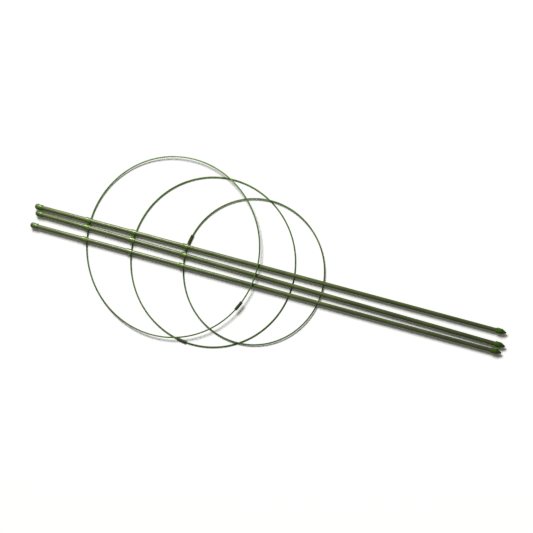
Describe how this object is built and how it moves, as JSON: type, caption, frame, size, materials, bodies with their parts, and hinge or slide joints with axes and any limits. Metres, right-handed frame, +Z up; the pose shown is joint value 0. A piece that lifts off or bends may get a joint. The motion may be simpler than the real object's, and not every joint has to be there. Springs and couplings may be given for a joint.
{
  "type": "plant support cage",
  "caption": "Folded plant support cage: coated steel stakes with ball caps and points, joined by wire rings that swing in hooked clips sliding on the stakes.",
  "frame": {"origin": "under the middle of the folded cage, on the surface it lies on", "axes": "+X along the middle stake towards the points, +Y across the stakes towards the upper stake, +Z up from the surface"},
  "size_m": [0.9042, 0.3264, 0.019],
  "materials": {
    "stake_coating": "glossy dark green plastic coat drawn over steel tube, faint lengthwise streaks",
    "steel_tube": "plain drawn steel",
    "ball_cap": "glossy mid green moulded plastic",
    "point_cap": "deep green moulded plastic with a soft sheen",
    "clip": "glossy bright green moulded plastic",
    "ring_wire": "steel wire with a dark green plastic coat",
    "ring_sleeve": "dark olive plastic sleeve"
  },
  "bodies": {
    "upper_stake": {"stake_a_coating": "stake_coating", "stake_a_steel_tube": "steel_tube", "stake_a_ball_cap": "ball_cap", "stake_a_point_cap": "point_cap"},
    "middle_stake": {"stake_b_coating": "stake_coating", "stake_b_steel_tube": "steel_tube", "stake_b_ball_cap": "ball_cap", "stake_b_point_cap": "point_cap"},
    "lower_stake": {"stake_c_coating": "stake_coating", "stake_c_steel_tube": "steel_tube", "stake_c_ball_cap": "ball_cap", "stake_c_point_cap": "point_cap"},
    "top_ring_slider_a": {"top_ring_clip_a": "clip"},
    "top_ring_slider_b": {"top_ring_clip_b": "clip"},
    "top_ring_slider_c": {"top_ring_clip_c": "clip"},
    "top_ring": {"top_ring_wire": "ring_wire", "top_ring_sleeve": "ring_sleeve"},
    "middle_ring_slider_a": {"middle_ring_clip_a": "clip"},
    "middle_ring_slider_b": {"middle_ring_clip_b": "clip"},
    "middle_ring_slider_c": {"middle_ring_clip_c": "clip"},
    "middle_ring": {"middle_ring_wire": "ring_wire", "middle_ring_sleeve": "ring_sleeve"},
    "lower_ring_slider_a": {"lower_ring_clip_a": "clip"},
    "lower_ring_slider_b": {"lower_ring_clip_b": "clip"},
    "lower_ring_slider_c": {"lower_ring_clip_c": "clip"},
    "lower_ring": {"lower_ring_wire": "ring_wire", "lower_ring_sleeve": "ring_sleeve"}
  },
  "joints": [
    {"name": "top_ring_height", "type": "slide", "parent": "middle_stake", "child": "top_ring_slider_b", "axis": [1, 0, 0], "range_m": [-0.04, 0.03]},
    {"name": "top_ring_height_a", "type": "slide", "parent": "middle_stake", "child": "top_ring_slider_a", "axis": [0.9999, 0.014, 0], "range_m": [-0.04, 0.03]},
    {"name": "top_ring_height_c", "type": "slide", "parent": "middle_stake", "child": "top_ring_slider_c", "axis": [0.9999, 0.0113, 0], "range_m": [-0.04, 0.03]},
    {"name": "top_ring_fold", "type": "hinge", "parent": "top_ring_slider_b", "child": "top_ring", "pos_m": [-0.34689, -0.00816, 0.0038], "axis": [0.079, -0.9969, 0], "range_deg": [0, 270]},
    {"name": "middle_ring_height", "type": "slide", "parent": "middle_stake", "child": "middle_ring_slider_b", "axis": [1, 0, 0], "range_m": [-0.035, 0.04]},
    {"name": "middle_ring_height_a", "type": "slide", "parent": "middle_stake", "child": "middle_ring_slider_a", "axis": [0.9999, 0.014, 0], "range_m": [-0.035, 0.04]},
    {"name": "middle_ring_height_c", "type": "slide", "parent": "middle_stake", "child": "middle_ring_slider_c", "axis": [0.9999, 0.0113, 0], "range_m": [-0.035, 0.04]},
    {"name": "middle_ring_fold", "type": "hinge", "parent": "middle_ring_slider_b", "child": "middle_ring", "pos_m": [-0.26063, -0.00816, 0.0038], "axis": [-0.0315, 0.9995, 0], "range_deg": [0, 90]},
    {"name": "lower_ring_height", "type": "slide", "parent": "middle_stake", "child": "lower_ring_slider_b", "axis": [1, 0, 0], "range_m": [-0.035, 0.04]},
    {"name": "lower_ring_height_a", "type": "slide", "parent": "middle_stake", "child": "lower_ring_slider_a", "axis": [0.9999, 0.014, 0], "range_m": [-0.035, 0.04]},
    {"name": "lower_ring_height_c", "type": "slide", "parent": "middle_stake", "child": "lower_ring_slider_c", "axis": [0.9999, 0.0113, 0], "range_m": [-0.035, 0.04]},
    {"name": "lower_ring_fold", "type": "hinge", "parent": "lower_ring_slider_b", "child": "lower_ring", "pos_m": [-0.16112, -0.00816, 0.0038], "axis": [-0.0556, 0.9985, 0], "range_deg": [0, 90]},
    {"name": "upper_stake_slide", "type": "slide", "parent": "middle_stake", "child": "upper_stake", "axis": [0.9999, 0.014, 0], "range_m": [-0.1, 0.03]},
    {"name": "lower_stake_slide", "type": "slide", "parent": "middle_stake", "child": "lower_stake", "axis": [0.9999, 0.0113, 0], "range_m": [-0.1, 0.03]}
  ],
  "couplings": [
    {"joint": "top_ring_height_a", "follows": "top_ring_height", "ratio": 1},
    {"joint": "top_ring_height_c", "follows": "top_ring_height", "ratio": 1},
    {"joint": "middle_ring_height_a", "follows": "middle_ring_height", "ratio": 1},
    {"joint": "middle_ring_height_c", "follows": "middle_ring_height", "ratio": 1},
    {"joint": "lower_ring_height_a", "follows": "lower_ring_height", "ratio": 1},
    {"joint": "lower_ring_height_c", "follows": "lower_ring_height", "ratio": 1},
    {"joint": "lower_ring_fold", "follows": "middle_ring_fold", "ratio": 1}
  ]
}
